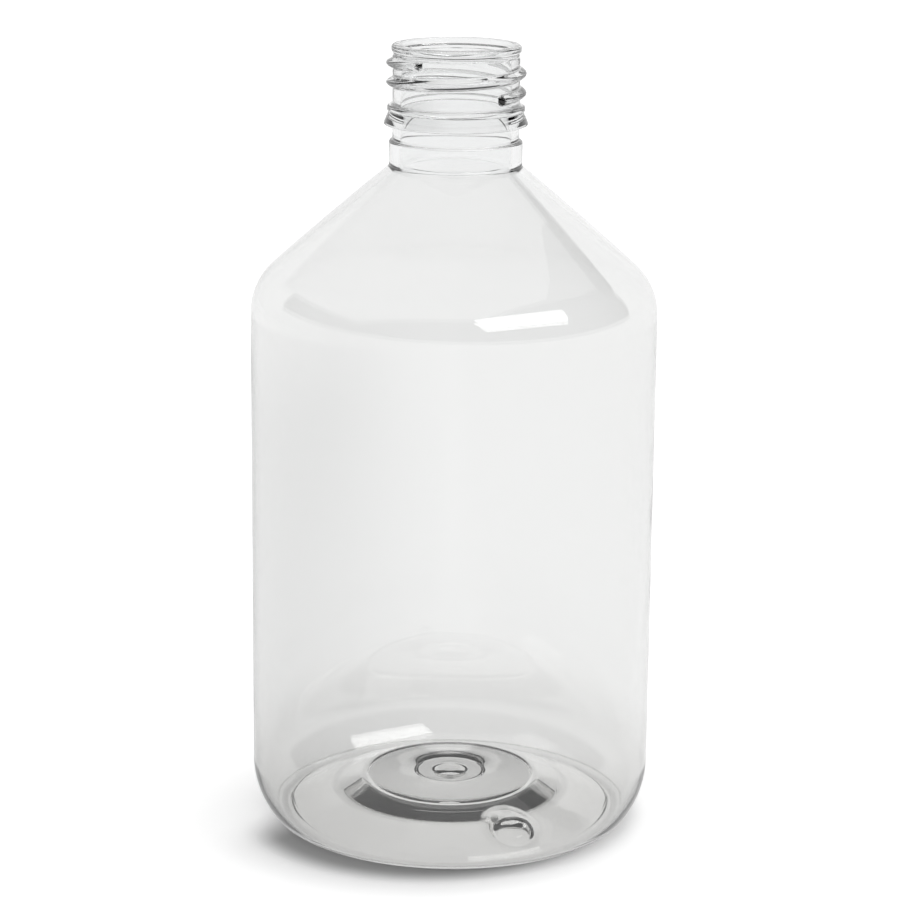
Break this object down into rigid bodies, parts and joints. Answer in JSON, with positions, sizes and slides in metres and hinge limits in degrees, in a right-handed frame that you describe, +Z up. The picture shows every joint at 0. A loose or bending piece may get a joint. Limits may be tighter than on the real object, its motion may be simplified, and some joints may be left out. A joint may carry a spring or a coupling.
{
  "type": "plastic bottle",
  "caption": "Clear blown PET bottle with a sloping shoulder, a straight round body and a threaded neck with a ring for a tamper-evident cap.",
  "frame": {"origin": "centre of the circle that the bottle stands on", "axes": "+Z up along the bottle's axis, towards the mouth; the turning notch in the base lies towards +X and -Y"},
  "size_m": [0.08, 0.08, 0.156],
  "materials": {
    "clear_pet": "clear and glossy, with a faint grey-green tint"
  },
  "bodies": {
    "root": {"bottle": "clear_pet"}
  },
  "joints": []
}
